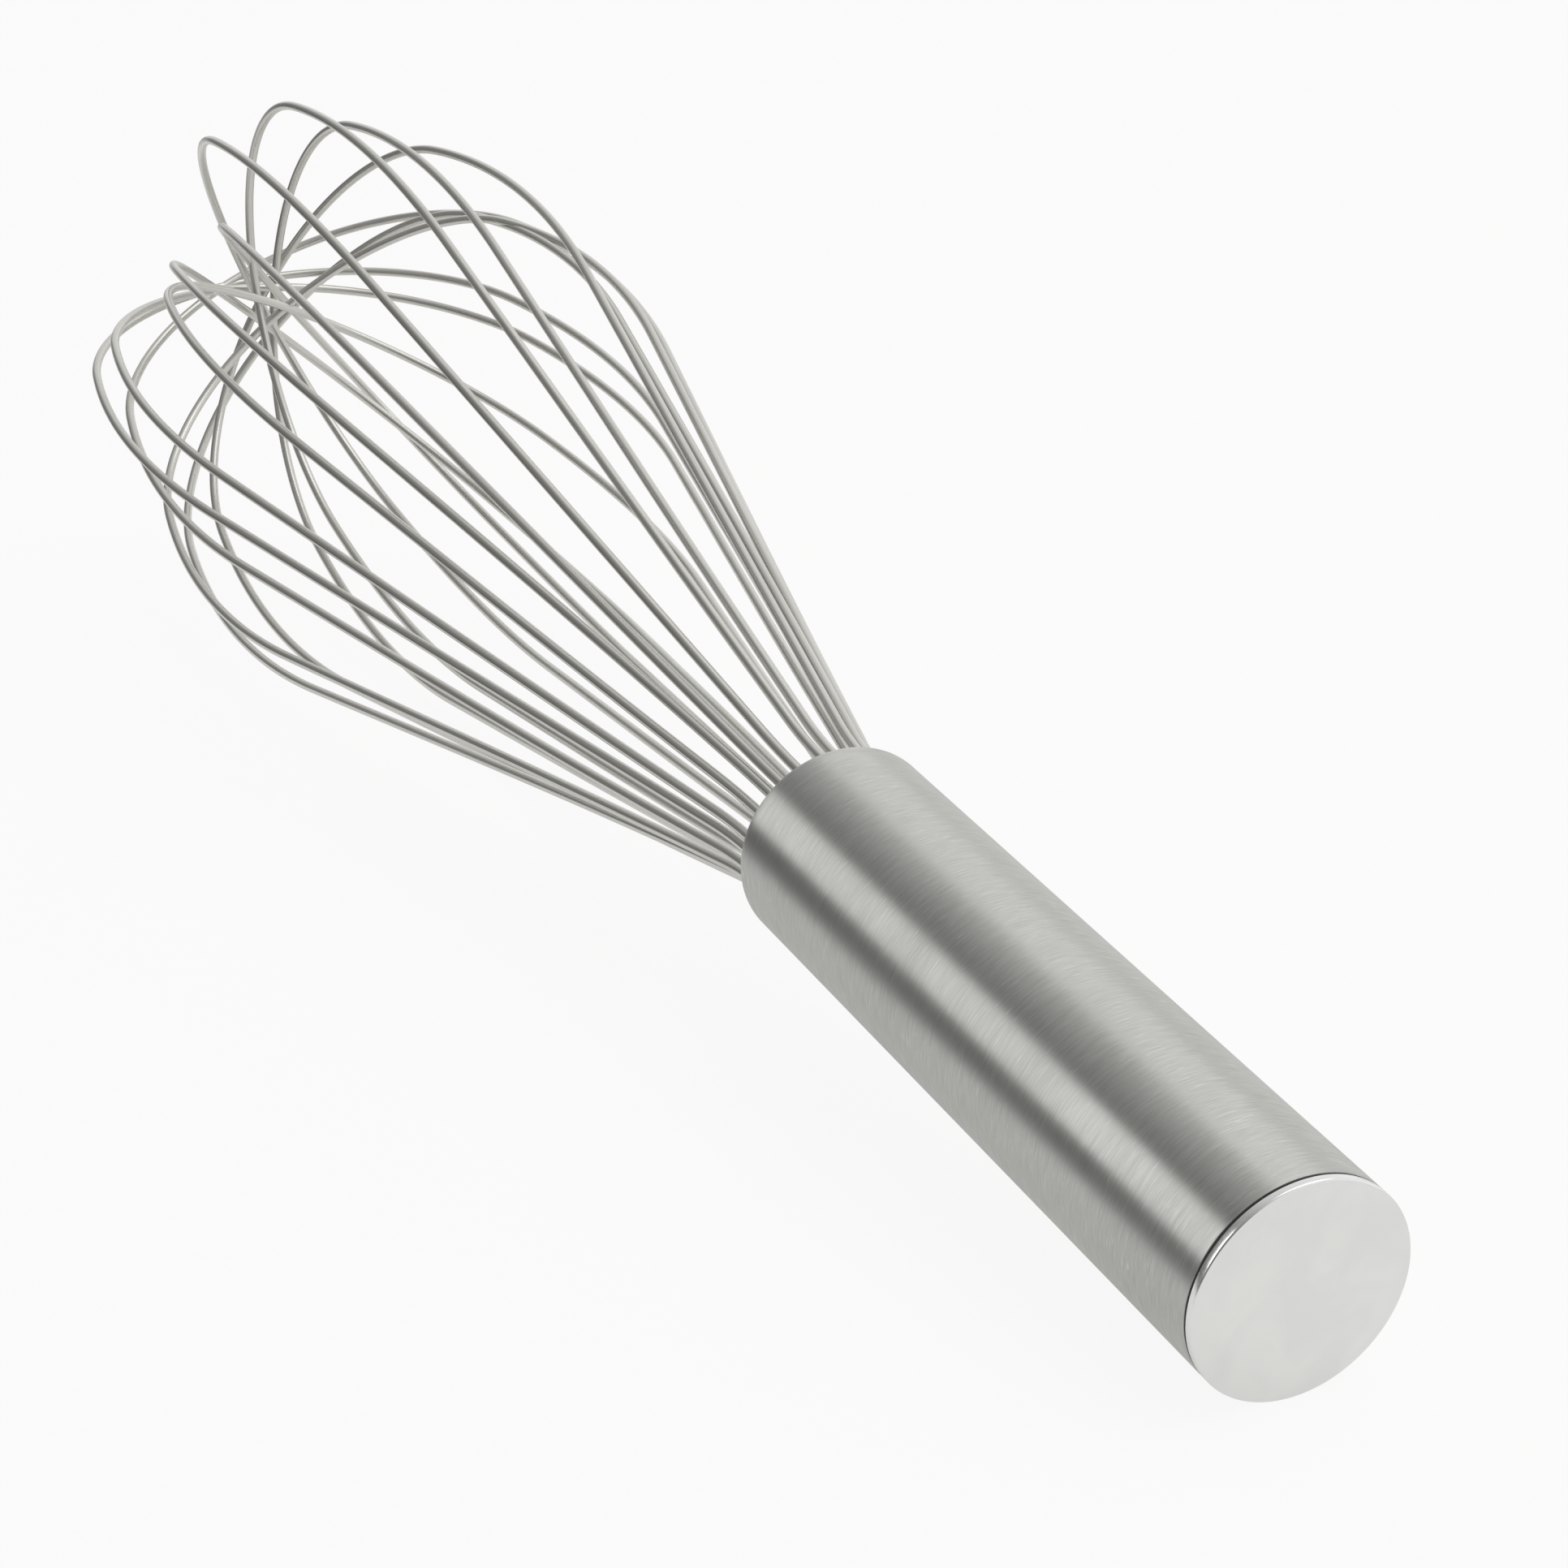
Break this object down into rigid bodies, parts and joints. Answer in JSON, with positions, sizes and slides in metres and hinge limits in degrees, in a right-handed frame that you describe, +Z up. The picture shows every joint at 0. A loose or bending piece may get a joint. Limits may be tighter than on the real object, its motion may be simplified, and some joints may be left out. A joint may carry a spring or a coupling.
{
  "type": "balloon whisk",
  "caption": "Balloon whisk of stainless steel: crossing round wire loops set in a ring in the mouth of a straight tubular handle, closed at its end by a flat cap",
  "frame": {"origin": "Centre of the bounding box in plan, on the surface that the whisk lies on", "axes": "+Z up; the handle points to -X and the balloon to +X, with the handle's axis rising about 6 degrees towards the balloon, as the whisk lies at rest; +Y across"},
  "size_m": [0.358, 0.0882, 0.0895],
  "materials": {
    "handle_steel": "brushed around the tube",
    "cap_steel": "polished",
    "wire_steel": "bright drawn",
    "sleeve_steel": "turned",
    "core_plastic": "moulded",
    "seal_resin": "cast, satin",
    "sealant": "matt"
  },
  "bodies": {
    "root": {"handle_shell": "handle_steel", "end_cap": "cap_steel", "cap_seal": "sealant", "bundle_sleeve": "sleeve_steel", "wire_core": "core_plastic", "mouth_seal": "seal_resin", "wire_loop_01": "wire_steel", "wire_loop_02": "wire_steel", "wire_loop_03": "wire_steel", "wire_loop_04": "wire_steel", "wire_loop_05": "wire_steel", "wire_loop_06": "wire_steel", "wire_loop_07": "wire_steel", "wire_loop_08": "wire_steel", "wire_loop_09": "wire_steel", "wire_loop_10": "wire_steel", "wire_loop_11": "wire_steel", "wire_loop_12": "wire_steel"}
  },
  "joints": []
}
